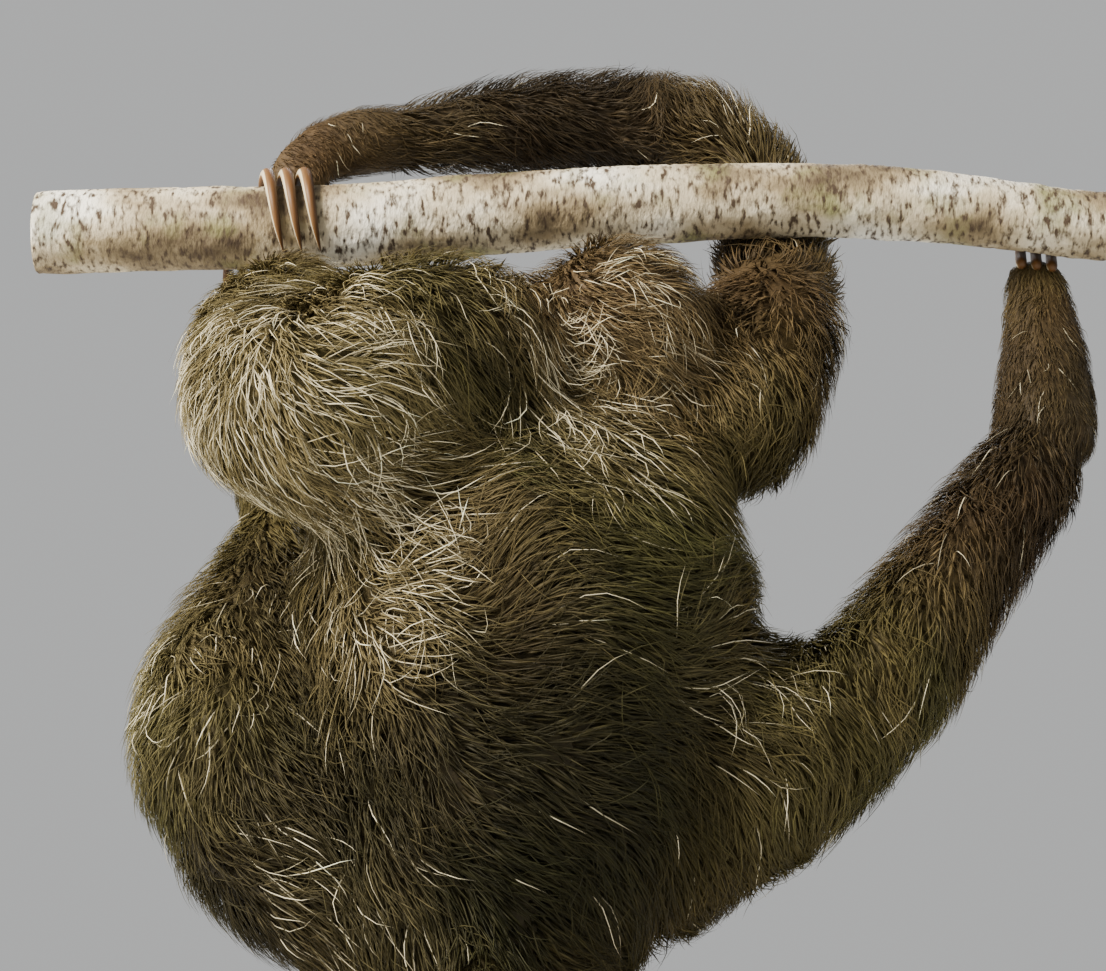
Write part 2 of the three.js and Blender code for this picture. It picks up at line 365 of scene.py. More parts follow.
def head_place(points):
    """Right, front and up of the middle between the eyes, in metres."""
    away = points - EYE_MIDDLE
    return away @ np.stack([HEAD_SIDE, HEAD_FRONT, HEAD_UP], axis=1)


def face_share(points, shares):
    """One on the face, nought on the rest of the body."""
    return smooth_step(*FACE_EDGE, head_place(points)[:, 1:2]) * shares[:, HEAD_COLUMN]


# ---- the skin ----
SHARE_REACH = 30.0 * MM  # a part has no share in the skin farther away than this
SHARE_BLEND = 3.0 * MM  # over about this far, one part's share passes into the next one's


def flesh_union():
    """All flesh nodes, a little swollen so that they meet, as one closed mesh."""
    build = bmesh.new()
    for name in FLESH:
        part = bmesh.new()
        part.from_mesh(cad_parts[name].data)
        bmesh.ops.remove_doubles(part, verts=part.verts, dist=WELD)
        part.normal_update()
        for vertex in part.verts:
            vertex.co += vertex.normal * SWELL
        mesh = to_mesh("part", part)
        build.from_mesh(mesh)
        bpy.data.meshes.remove(mesh)
    skin = link("skin", to_mesh("skin", build))
    remesh = skin.modifiers.new("remesh", "REMESH")
    remesh.mode = "VOXEL"
    remesh.voxel_size = VOXEL
    applied(skin)
    return skin


def part_shares(points):
    """How much of each flesh node there is at each point: one row a point, one column a node."""
    distance = np.full((len(points), len(FLESH)), 1.0)
    for column, name in enumerate(FLESH):
        low, high = (np.array(corner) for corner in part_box(name))
        near = ((points > low - SHARE_REACH) & (points < high + SHARE_REACH)).all(1)
        tree = BVHTree.FromObject(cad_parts[name], bpy.context.evaluated_depsgraph_get())
        for row in np.flatnonzero(near):
            found = tree.find_nearest(points[row])
            if found[3] is not None:
                distance[row, column] = found[3]
    closeness = 1.0 / (distance + SHARE_BLEND) ** 3
    return closeness / closeness.sum(1, keepdims=True)


# Each round of finer faces: its reach round the eyes and mouth, and how far back it goes, in millimetres.
FACE_FINENESS = ((44.0, -30.0), (26.0, -14.0), (13.0, -12.0))


def refine_face(skin, shares):
    """Smaller faces on the face, and smaller yet round the eyes and mouth. Returns the shares to match."""
    coarse = read_points(skin.data)
    build = bmesh.new()
    build.from_mesh(skin.data)
    marks = np.array([EYE_CENTRES["left"], EYE_CENTRES["right"], NOSE_CENTRE - 9 * MM * HEAD_UP])
    for reach, forward in FACE_FINENESS:
        middles = np.array([face.calc_center_median() for face in build.faces])
        distance = np.linalg.norm(middles[:, None] - marks[None], axis=2).min(1)
        near = (distance < reach * MM) & (head_place(middles)[:, 1] > forward * MM)
        build.faces.ensure_lookup_table()
        edges = {edge for index in np.flatnonzero(near) for edge in build.faces[index].edges}
        bmesh.ops.subdivide_edges(build, edges=list(edges), cuts=1, use_grid_fill=True, smooth=0.6)
    build.to_mesh(skin.data)
    build.free()
    return shares[nearest_rows(coarse, read_points(skin.data))]


# The face's forms in millimetres, from the middle between the eyes: across, forward and up.
# Where two numbers stand together, the form fades in from the first to the second.
FORMS_FRONT = (-22.0, -10.0)
ORBIT = {"across": 13.0, "up": 12.0, "height": 2.3}
BRIDGE = {"across": 6.5, "low": (-16.0, -8.0), "high": (24.0, 8.0), "height": 1.6}
CHEEK = {"across": 22.0, "up": -16.0, "spread": 9.0, "height": 1.8}
MOUTH = {"level": -25.5, "smile": 0.016, "corner": (21.0, 16.0), "width": 0.9, "depth": 1.7}
LIP = {"up": 2.6, "width": 1.6, "height": 0.8}
LID = {"thickness": 0.7, "half_width": 4.3, "half_height": 3.5, "rim": 0.5, "tuck": 1.6, "blend": 10.0}
LID_BACK = -8.0  # skin farther back than this isn't the eye's own
LID_GRIP = 0.86  # the share of the eye's dome that the skin follows closely
GAZE_OUT = 0.35  # how far each eye turns outward


def eye_axes(side):
    """(gaze, across, up) of an eye: its gaze turns a little outward."""
    sign = SIDES[side]
    gaze = unit(HEAD_FRONT + GAZE_OUT * sign * HEAD_SIDE)
    across = unit(np.cross(gaze, HEAD_UP)) * sign
    return gaze, across, np.cross(across, gaze) * sign


def mouth_level(x):
    """How high the line of the mouth runs at this distance from the middle, in millimetres."""
    return MOUTH["level"] + MOUTH["smile"] * x**2


def sculpt_face(points, normals):
    """The points, with the orbits, the bridge of the nose, the cheeks and the mouth raised or sunk."""
    x, forward, up = (head_place(points) / MM).T
    front = smooth_step(*FORMS_FRONT, forward)
    rise = np.zeros(len(points))
    eye_x = abs(head_place(EYE_CENTRES["right"][None])[0, 0]) / MM
    for sign in SIDES.values():
        rise += ORBIT["height"] * bell((x - sign * eye_x) / ORBIT["across"]) * bell(up / ORBIT["up"])
        cheek = bell((x - sign * CHEEK["across"]) / CHEEK["spread"])
        rise += CHEEK["height"] * cheek * bell((up - CHEEK["up"]) / CHEEK["spread"])
    bridge = bell(x / BRIDGE["across"]) * smooth_step(*BRIDGE["low"], up)
    rise += BRIDGE["height"] * bridge * smooth_step(*BRIDGE["high"], up)
    above = up - mouth_level(x)
    across_mouth = smooth_step(*MOUTH["corner"], np.abs(x))
    rise -= MOUTH["depth"] * bell(above / MOUTH["width"]) * across_mouth
    rise += LIP["height"] * bell((np.abs(above) - LIP["up"]) / LIP["width"]) * across_mouth
    return points + (rise * front * MM)[:, None] * normals


def with_lids(points, side):
    """The points, with those round this eye drawn over it as lids, and tucked behind them in its opening."""
    gaze, across, upward = eye_axes(side)
    away = (points - EYE_CENTRES[side]) / MM
    a, b, c = away @ across, away @ upward, away @ gaze
    out = np.hypot(a, b)
    opening = np.hypot(a / LID["half_width"], b / LID["half_height"])
    dome = EYE_RADIUS + LID["thickness"]
    lid = np.sqrt(np.maximum(dome**2 - out**2, 0.0))
    inner = smooth_step(1.0 + LID["rim"] / LID["half_height"], 1.0, opening)
    lid = lid - inner * (LID["thickness"] + LID["tuck"])
    held = smooth_step(LID["blend"], dome * LID_GRIP, out) * (c > LID_BACK)
    wanted = mix(np.maximum(lid, c * (1.0 - inner)), lid, inner)
    return points + ((wanted - c) * held * MM)[:, None] * gaze


SOFTENING = 0.5  # how far each round of smoothing goes
FINE_SOFTENING = 0.12  # the same on hands and feet, which keep their shape
SHAPE_ROUNDS = 12  # of smoothing: of the shape, of the coat's depth, of the way in, and after each step in
DEPTH_ROUNDS = 6
INWARD_ROUNDS = 8
STEP_ROUNDS = 2
SINK_STEPS = 6


def build_skin():
    """The skin, sunk under the solids by the coat's depth, and each vertex's shares of the parts."""
    skin = flesh_union()
    mesh = skin.data
    edges = read(mesh.edges, "vertices", int, 2)
    shares = part_shares(read_points(mesh))
    fine = [index for index, name in enumerate(FLESH) if name.endswith(("hand", "foot"))]
    softening = mix(SOFTENING, FINE_SOFTENING, shares[:, fine].sum(1, keepdims=True))
    write_points(mesh, spread(edges, read_points(mesh), SHAPE_ROUNDS, softening))
    depth = mix(shares @ COAT_DEPTHS, FACE_DEPTH, face_share(read_points(mesh), shares))
    depth = spread(edges, depth + SWELL, DEPTH_ROUNDS)
    for _ in range(SINK_STEPS):
        inward = spread(edges, read_normals(mesh), INWARD_ROUNDS)
        points = read_points(mesh) - inward * depth / SINK_STEPS
        write_points(mesh, spread(edges, points, STEP_ROUNDS, softening))
    shares = refine_face(skin, shares)
    points = sculpt_face(read_points(mesh), read_normals(mesh))
    for side in SIDES:
        points = with_lids(points, side)
    write_points(mesh, points)
    return skin, shares


def patch_strength(points, patches):
    """How strongly these patches of colour tell at each point, from 0 to 1."""
    rest = np.ones((len(points), 1))
    for x, y, z, radius, strength in patches:
        away = np.linalg.norm(points - np.array([x, y, z]) * MM, axis=1, keepdims=True)
        rest *= 1.0 - strength * bell(away / (radius * MM))
    return 1.0 - rest


def face_colour(points):
    """The face's own markings: cream, with a dark stripe back from each eye and a darker brow."""
    x, _, up = (head_place(points) / MM).T[..., None]
    wobble = 2.0 * smooth_noise(points, 7 * MM, 4.0)[:, :1]
    side = np.abs(x)
    stripe_level = -0.42 * (side - 17.0)
    stripe_width = np.interp(side, [9.0, 17.0, 38.0], [2.5, 6.0, 8.0])
    stripe = smooth_step(1.25, 0.75, np.abs(up - stripe_level + wobble) / stripe_width)
    stripe = stripe * smooth_step(9.0, 13.0, side)
    brow = smooth_step(9.0, 19.0, up + wobble)
    muzzle = np.exp(-((x / 13.0) ** 2 + ((up + 15.0) / 7.0) ** 2))
    throat = smooth_step(-33.0, -42.0, up + wobble)
    colour = mix(FACE_CREAM, FACE_MUZZLE, 0.8 * muzzle)
    colour = mix(colour, FACE_BROW, 0.85 * brow)
    colour = mix(colour, FACE_BROW, throat)
    lids = smooth_step(4.5, 2.0, from_features(points) + 3.0 * (up < -6.0))
    return mix(colour, FACE_STRIPE, 0.92 * np.maximum(stripe, lids))


def coat_tones(points, face):
    """The coat's (root colour, tip colour, paleness) at each point. Skin and coat share them."""
    blotch = smooth_noise(points, BLOTCH)
    fine_blotch = smooth_noise(points, FINE_BLOTCH, 2.0)
    pale = patch_strength(points, PALE_PATCHES) + 0.22 * blotch[:, :1] + 0.16 * fine_blotch[:, :1]
    red = patch_strength(points, RED_PATCHES) + 0.15 * blotch[:, 1:2]
    green = patch_strength(points, GREEN_PATCHES) + 0.3 * blotch[:, 2:]
    # The dark patches darken the coat and its paleness: its own darker colour together with painted shade.
    dark = patch_strength(points, DARK_AND_SHADE_PATCHES)
    pale = pale * (1.0 - 0.55 * dark)
    pale, red, green = (np.clip(tone, 0.0, 1.0) for tone in (pale, red, green))
    body = mix(mix(OLIVE, GREEN_OLIVE, green), RED_BROWN, red) * (1.0 - 0.84 * dark)
    root = mix(UNDER_BROWN, body, 0.5)
    tip = mix(body, PALE_BROWN, 0.5 * pale) * (1.0 + 0.25 * fine_blotch[:, 1:2])
    own = face_colour(points)
    root = mix(root, 0.72 * own, face)
    tip = mix(tip, 1.1 * own, face)
    return root, tip, pale * (1.0 - 0.9 * face)


# ---- fields round the skin: height over it, its normal, and the run of the hair ----
FIELD_CELL = 4.5 * MM
FIELD_REACH = 6  # cells either side of the skin


def comb(points, normals, shares):
    """The way that the hair runs at each point of the skin, along the skin."""
    strokes = [(x, y, z, dx, 0.0, dz) for x, y, z, dx, dz in BACK_STROKES] + OTHER_STROKES
    run = np.zeros_like(points)
    total = np.zeros((len(points), 1))
    for x, y, z, dx, dy, dz in strokes:
        away = ((points - np.array([x, y, z]) * MM) ** 2).sum(1, keepdims=True)
        weight = 1.0 / (away + STROKE_REACH**2 / 4) ** 2
        run += weight * unit(np.array([dx, dy, dz]))
        total += weight
    run = run / total
    run = mix(run, unit(points - NOSE_CENTRE), face_share(points, shares))
    run = unit(run + SWIRL * smooth_noise(points, SWIRL_SIZE, 5.0))
    return unit(run - dot(run, normals) * normals)


class Field:
    """Values held on a grid round the skin, read at any place near it."""

    def __init__(self, points, normals, runs):
        self.low = points.min(0) - (FIELD_REACH + 1) * FIELD_CELL
        size = points.max(0) + (FIELD_REACH + 1) * FIELD_CELL - self.low
        self.shape = np.ceil(size / FIELD_CELL).astype(int) + 2
        near = np.zeros(self.shape, bool)
        cell = np.round((points - self.low) / FIELD_CELL).astype(int)
        near[tuple(cell.T)] = True
        for axis in range(3):
            grown = near.copy()
            for shift in range(1, FIELD_REACH + 1):
                grown |= np.roll(near, shift, axis) | np.roll(near, -shift, axis)
            near = grown
        cells = np.argwhere(near)
        places = self.low + cells * FIELD_CELL
        nearest = nearest_rows(points, places)
        height = dot(places - points[nearest], normals[nearest])
        self.values = np.zeros((*self.shape, 7))
        self.values[tuple(cells.T)] = np.hstack([height, normals[nearest], runs[nearest]])

    def read(self, places):
        """(height over the skin, normal, run) at each place."""
        place = np.clip((places - self.low) / FIELD_CELL, 0, self.shape - 1.001)
        cell = place.astype(int)
        found = between_corners(self.values, cell, place - cell)
        return found[:, :1], unit(found[:, 1:4]), found[:, 4:]


# ---- the perch's own line, so that hair lies round it and not through it ----
PERCH_STATIONS = 15
PERCH_WINDOW = 40.0 * MM  # a station's radius is taken from the corners this near
BARK_CLEARANCE = 0.8 * MM  # between the branch and the hair that lies on it


def perch_line():
    """The middle and the radius of the branch, at stations along it."""
    points = read_points(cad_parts["perch"].data)
    along = points[:, 0]
    stations = np.linspace(along.min(), along.max(), PERCH_STATIONS)
    middles, radii = [], []
    for low, high in zip(stations, stations[1:]):
        inside = points[(along >= low) & (along <= high)]
        middle = (inside.min(0) + inside.max(0)) / 2
        near = points[np.abs(along - middle[0]) < PERCH_WINDOW]
        middles.append(middle)
        radii.append(np.median(np.linalg.norm((near - middle)[:, 1:], axis=1)))
    return np.array(middles), np.array(radii)


PERCH_MIDDLES, PERCH_RADII = perch_line()
PERCH_ENDS = [corner[0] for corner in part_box("perch")]


def perch_middle(x):
    """The middle of the branch at these places along it."""
    y, z = (np.interp(x, PERCH_MIDDLES[:, 0], PERCH_MIDDLES[:, axis]) for axis in (1, 2))
    return np.stack([x, y, z], axis=-1)


def off_the_perch(points):
    """The points, with those inside the branch moved out to its bark."""
    flat = points.reshape(-1, 3)
    x = flat[:, 0]
    middle = perch_middle(x)
    radius = np.interp(x, PERCH_MIDDLES[:, 0], PERCH_RADII) + BARK_CLEARANCE
    away = flat - middle
    distance = np.linalg.norm(away, axis=1)
    inside = (distance < radius) & (x > PERCH_ENDS[0]) & (x < PERCH_ENDS[1])
    push = (radius / np.maximum(distance, 1 * MM))[:, None] * away
    moved = np.where(inside[:, None], middle + push, flat)
    return moved.reshape(points.shape)


# ---- locks of hair ----
NOSE_HALF = (8.0, 4.5, 5.5)  # the nose pad's half sizes across, forward and up, in millimetres
ROOT_SINK = 1.5 * MM  # how far under the skin a hair starts
DROOP = np.array([0.0, 0.0, -0.22])  # the hair's own weight, against a run of one
CLIMB = (-0.5, 0.85)  # how steeply a hair may fall or climb, as shares of its stride
LIE_DOWN = 2.2  # the higher, the sooner a hair reaches its height and lies flat
LOCK_PATCH = 0.003  # a lock's share of the OFBake map, across
STRAND = 0.34 * MM  # the width of one streak of hairs in a lock
STRANDS_ALONG = 2.2  # how many streaks lie end to end in a lock
STRAND_SHIFTS = (90.0, 31.0, 57.0)  # keeps one lock's streaks unlike the next one's


def from_features(points):
    """The distance in millimetres to the nearest of the eyes and the nose pad."""
    away = [np.linalg.norm(points - eye, axis=1) / MM - EYE_RADIUS for eye in EYE_CENTRES.values()]
    place = (head_place(points) - head_place(NOSE_CENTRE[None])) / MM / np.array(NOSE_HALF)
    away.append((np.linalg.norm(place, axis=1) - 1.0) * NOSE_HALF[2])
    return np.min(away, axis=0)[:, None]


def grow(field, roots, length, rise, turn, steps):
    """Paths of hair from these roots: along the run of the coat, turned by these angles, at these heights."""
    paths = np.empty((len(roots), steps + 1, 3))
    place = roots - field.read(roots)[1] * ROOT_SINK
    paths[:, 0] = place
    stride = (length / steps)[:, None]
    for step in range(1, steps + 1):
        height, normal, run = field.read(place)
        side = np.cross(normal, run)
        way = unit(run * np.cos(turn) + side * np.sin(turn) + DROOP)
        way = unit(way - dot(way, normal) * normal)
        share = step / steps
        wanted = rise * (1.0 - (1.0 - share) ** LIE_DOWN)
        climb = np.clip(wanted - height, CLIMB[0] * stride, CLIMB[1] * stride)
        place = place + way * np.sqrt(stride**2 - climb**2) + normal * climb
        paths[:, step] = place
    return paths


def scatter(mesh, density):
    """Roots spread over a mesh's faces, this many to each square metre at each vertex.

    Returns a function that reads a vertex's values at the roots."""
    mesh.calc_loop_triangles()
    triangles = read(mesh.loop_triangles, "vertices", int)
    points = read_points(mesh)
    a, b, c = (points[triangles[:, corner]] for corner in range(3))
    area = np.linalg.norm(np.cross(b - a, c - a), axis=1) / 2
    wanted = area * density[triangles].mean(1)
    count = np.floor(wanted + RNG.random(len(wanted))).astype(int)
    face = np.repeat(np.arange(len(triangles)), count)
    u, v = RNG.random((2, len(face)))
    over = u + v > 1
    u[over], v[over] = 1 - u[over], 1 - v[over]
    weights = np.stack([1 - u - v, u, v], axis=1)[..., None]
    return lambda values: (values[triangles[face]] * weights).sum(1)


def paint(mesh, colours):
    """Gives each vertex its colour of the coat."""
    rgba = np.ones((len(colours), 4), np.float32)
    rgba[:, :3] = colours
    attribute = mesh.color_attributes.new("coat_colour", "FLOAT_COLOR", "POINT")
    attribute.data.foreach_set("color", rgba.ravel())


def lock_mesh(name, flatness, paths, sides, widths, colours, patches, seeds):
    """Closed three-sided locks along these paths, as one mesh. Each ends in a point."""
    count, rings = paths.shape[:2]
    body = rings - 1
    along = unit(np.gradient(paths, axis=1))
    across = unit(np.cross(along, sides[:, None]))
    thick = np.cross(across, along) * widths[..., None] * flatness
    across = across * widths[..., None]
    corners = np.stack([paths - across, paths + across, paths + thick], axis=2)[:, :body]
    vertices = np.concatenate([corners.reshape(count, -1, 3), paths[:, body:]], axis=1)
    each = 3 * body + 1
    pattern = [(0, 2, 1)]
    for ring in range(body - 1):
        for corner in range(3):
            a, b = 3 * ring + corner, 3 * ring + (corner + 1) % 3
            pattern += [(a, b, b + 3), (a, b + 3, a + 3)]
    last = 3 * (body - 1)
    pattern += [(last + corner, last + (corner + 1) % 3, each - 1) for corner in range(3)]
    pattern = np.array(pattern)
    faces = (pattern[None] + each * np.arange(count)[:, None, None]).reshape(-1, 3)

    mesh = bpy.data.meshes.new(name)
    mesh.vertices.add(count * each)
    mesh.vertices.foreach_set("co", vertices.astype(np.float32).ravel())
    mesh.loops.add(faces.size)
    mesh.loops.foreach_set("vertex_index", faces.astype(np.int32).ravel())
    mesh.polygons.add(len(faces))
    mesh.polygons.foreach_set("loop_start", np.arange(0, faces.size, 3, dtype=np.int32))
    mesh.update(calc_edges=True)

    ring_of = np.append(np.repeat(np.arange(body), 3), body)
    paint(mesh, colours[:, ring_of].reshape(-1, 3))
    corner_of = np.append(np.tile([0.0, 1.0, 0.5], body), 0.5)
    strand = np.tile(seeds[:, None, None] * STRAND_SHIFTS, (1, each, 1))
    strand[..., 0] += corner_of * widths.max(1)[:, None] * 2 / STRAND
    strand[..., 1] += ring_of / body * STRANDS_ALONG
    set_values(mesh, "strand", "FLOAT_VECTOR", "vector", strand)

    spot = np.stack([corner_of, ring_of / body], axis=1) * LOCK_PATCH
    uv = (patches[:, None] + spot[None]).reshape(-1, 2)
    layer = mesh.uv_layers.new(name="OFBake")
    layer.data.foreach_set("uv", uv[faces.ravel()].astype(np.float32).ravel())
    return mesh


def bake_places(points, owners):
    """Where each root lies on an unwrap of the skin: one tile for each part, round it and along it."""
    places = np.empty((len(points), 2))
    columns = 4
    tile = 1.0 / columns
    for index in range(len(FLESH)):
        chosen = owners == index
        if not chosen.any():
            continue
        away = points[chosen] - points[chosen].mean(0)
        axes = np.linalg.svd(away, full_matrices=False)[2]
        along = away @ axes[0]
        around = np.arctan2(away @ axes[1], away @ axes[2]) / (2 * math.pi) + 0.5
        along = (along - along.min()) / max(np.ptp(along), 1e-6)
        corner = np.array([index % columns, index // columns]) * tile
        spot = np.stack([around, along], axis=1)
        places[chosen] = corner + tile * (0.02 + 0.94 * spot)
    return places


# Each layer of the coat. Lengths and rises are shares of the body part's own; angles are in radians;
# density and tufts are counts to the square metre; flatness is a lock's thickness over its half width;
# fade runs from the root's tone, 0, to the tip's, 1; straw is how likely a lock is to be pale straw;
# pale_bias puts more locks where the coat is pale.
LAYERS = {
    "under": dict(
        density=80000.0, tufts=16000.0, steps=2, length=0.62, rise=0.80, width=1.15 * MM, flatness=0.26,
        tousle=0.5, stray=0.18, clump=0.25, wave=0.02, fade=(0.3, 0.85), straw=0.0, pale_bias=0.0,
    ),
    "over": dict(
        density=94000.0, tufts=14000.0, steps=3, length=0.92, rise=0.92, width=0.42 * MM, flatness=0.45,
        tousle=0.75, stray=0.26, clump=0.5, wave=0.05, fade=(0.3, 1.0), straw=0.12, pale_bias=0.0,
    ),
    "wisps": dict(
        density=60000.0, tufts=7000.0, steps=5, length=1.1, rise=1.0, width=0.31 * MM, flatness=0.9,
        tousle=1.1, stray=0.46, clump=0.62, wave=0.16, fade=(0.6, 1.0), straw=1.2, pale_bias=1.3,
    ),
}
# At random: a lock's share of its layer's length, rise and width, and its own and its tuft's brightness.
LENGTH_RANGE = (0.65, 1.2)
RISE_RANGE = (0.6, 1.15)
WIDTH_RANGE = (0.7, 1.3)
GLOW_RANGE = (0.82, 1.2)
TUFT_GLOW = (0.72, 1.28)
DRIFT = 17.0 * MM  # over about this far, neighbouring hair turns the same way
FULL_LENGTH = 26.0 * MM  # a lock shorter than this is finer too
TYPICAL_LENGTH = 30.0 * MM  # the length that a layer's density is meant for
# A lock's width along its length, as (place, share of its width).
PROFILE = ((0.0, 0.75), (0.25, 1.0), (0.6, 0.75), (1.0, 0.12))


def hair_size(points, shares, face):
    """The (length, height over the skin) of full-grown hair at each point."""
    features = from_features(points)
    length = mix(shares @ COAT_LENGTHS, FACE_HAIR["length"], face)
    # Hair is shorter close to the eyes and the nose, and so is other hair that would hang over the face.
    length = length * (0.4 + 0.6 * smooth_step(1.0, 6.0, features))
    length = length * mix(0.3 + 0.7 * smooth_step(6.0, 40.0, features), 1.0, face)
    return length, mix(shares @ COAT_DEPTHS, FACE_HAIR["rise"], face)


def hair_density(points, length, face, layer):
    """Locks to the square metre: more where they are short, and none on the eyes and the nose."""
    paleness = coat_tones(points, face)[2]
    density = layer["density"] * (TYPICAL_LENGTH / np.maximum(length, 3 * MM)) ** 0.8
    density = density * (from_features(points) > 0.9) * (1.0 + 1.4 * face)
    return (density * (1.0 + layer["pale_bias"] * (paleness - 0.4)))[:, 0]


def gathered(paths, roots, share, length, loose, skin, shares, layer):
    """The paths drawn into tufts round guides of their own, each path's tuft, and the count of tufts."""
    points = read_points(skin.data)
    at_guides = scatter(skin.data, np.full(len(points), layer["tufts"]))
    guides = at_guides(points)
    guide_length = at_guides(shares @ COAT_LENGTHS)[:, 0] * layer["length"]
    rise = at_guides(shares @ COAT_DEPTHS) * layer["rise"]
    turn = layer["tousle"] * 1.3 * smooth_noise(guides, DRIFT, 9.0)[:, :1]
    turn += RNG.normal(0.0, layer["stray"] * 1.2, (len(guides), 1))
    guide_paths = grow(FIELD, guides, guide_length, rise, turn, layer["steps"])
    nearest = nearest_rows(guides, roots)
    pull = layer["clump"] * share**1.4 * RNG.uniform(0.3, 1.0, (len(paths), 1, 1)) * loose[:, None]
    reach = (length / guide_length[nearest])[:, None, None]
    start = guides[nearest][:, None]
    return mix(paths, mix(start, guide_paths[nearest], reach), pull), nearest, len(guides)


def waved(paths, share, length, normal, layer):
    """The paths with a lazy wave across each of them."""
    size = (len(paths), 1, 1)
    across = unit(np.cross(unit(paths[:, -1] - paths[:, 0]), normal))
    phase = RNG.uniform(0, 2 * math.pi, size)
    waves = RNG.uniform(0.7, 1.5, size)
    swing = layer["wave"] * length[:, None, None] * share * RNG.uniform(0.3, 1.0, size)
    wave = np.sin(phase + 2 * math.pi * waves * share) - np.sin(phase)
    paths = paths + across[:, None] * wave * swing
    for _ in range(2):
        paths[:, 1:-1] = (paths[:, :-2] + 2 * paths[:, 1:-1] + paths[:, 2:]) / 4
    return paths


def lock_colours(roots, share, face, tuft, layer):
    """A colour for each ring of each lock. Here and there a lock is straw, mostly where the coat is pale."""
    count = len(roots)
    root_tone, tip_tone, pale = coat_tones(roots, face)
    glow = RNG.uniform(*GLOW_RANGE, (count, 1, 1)) * mix(*TUFT_GLOW, tuft[:, None])
    chance = layer["straw"] * (0.02 + pale**1.4) * 2.4 * tuft**2
    lucky = (RNG.random((count, 1)) < chance) * RNG.uniform(0.25, 1.0, (count, 1))
    tip_tone = mix(tip_tone, STRAW, lucky)
    colours = mix(root_tone[:, None], tip_tone[:, None], mix(*layer["fade"], share)) * glow
    return np.clip(colours, 0.0, 1.0)


def grow_coat(skin, shares, layer):
    """One layer of the coat: the arrays that its locks need."""
    points = read_points(skin.data)
    face = face_share(points, shares)
    length, depth = hair_size(points, shares, face)
    at_roots = scatter(skin.data, hair_density(points, length, face, layer))
    roots, face = at_roots(points), at_roots(face)
    owners = at_roots(shares).argmax(1)
    count = len(roots)
    length = at_roots(length)[:, 0] * layer["length"] * RNG.uniform(*LENGTH_RANGE, count)
    rise = at_roots(depth) * layer["rise"] * RNG.uniform(*RISE_RANGE, (count, 1))
    turn = layer["tousle"] * smooth_noise(roots, DRIFT, 9.0)[:, :1]
    turn += RNG.normal(0.0, layer["stray"], (count, 1))
    paths = grow(FIELD, roots, length, rise, turn, layer["steps"])

    ring = np.arange(layer["steps"] + 1) / layer["steps"]
    share = ring[None, :, None]
    paths, nearest, tufts = gathered(paths, roots, share, length, 1.0 - face, skin, shares, layer)
    normal = FIELD.read(roots)[1]
    paths = waved(paths, share, length, normal, layer)
    paths[:, 1:] = off_the_perch(paths[:, 1:])

    fineness = np.clip(length / FULL_LENGTH, 0.35, 1.0)[:, None]
    profile = np.interp(ring, *zip(*PROFILE))
    widths = layer["width"] * fineness * profile * RNG.uniform(*WIDTH_RANGE, (count, 1))
    tuft = RNG.random((tufts, 1))[nearest]
    return paths, normal, widths, lock_colours(roots, share, face, tuft, layer), owners, roots


COAT_PIECES = {"head": ("head", "neck"), "trunk": ("trunk", "tail")}
for limb, parts in LIMBS.items():
    for side in SIDES:
        COAT_PIECES[f"{side}_{limb}"] = [f"{side}_{part}" for part in parts]
PIECE_LIMIT = 190000  # triangles in one piece of coat


def build_coat(skin, shares, label, layer):
    paths, normal, widths, colours, owners, roots = grow_coat(skin, shares, layer)
    patches = bake_places(roots, owners)
    seeds = RNG.random(len(roots))
    each = 6 * layer["steps"] - 2
    pieces = []
    for region, parts in COAT_PIECES.items():
        chosen = np.flatnonzero(np.isin(owners, [FLESH.index(part) for part in parts]))
        chunks = math.ceil(len(chosen) * each / PIECE_LIMIT)
        for number, rows in enumerate(np.array_split(chosen, chunks)):
            name = f"coat_{label}_{region}" + (f"_{number + 1}" if chunks > 1 else "")
            chunk = (array[rows] for array in (paths, normal, widths, colours, patches, seeds))
            pieces.append(link(name, lock_mesh(name, layer["flatness"], *chunk)))
    return pieces


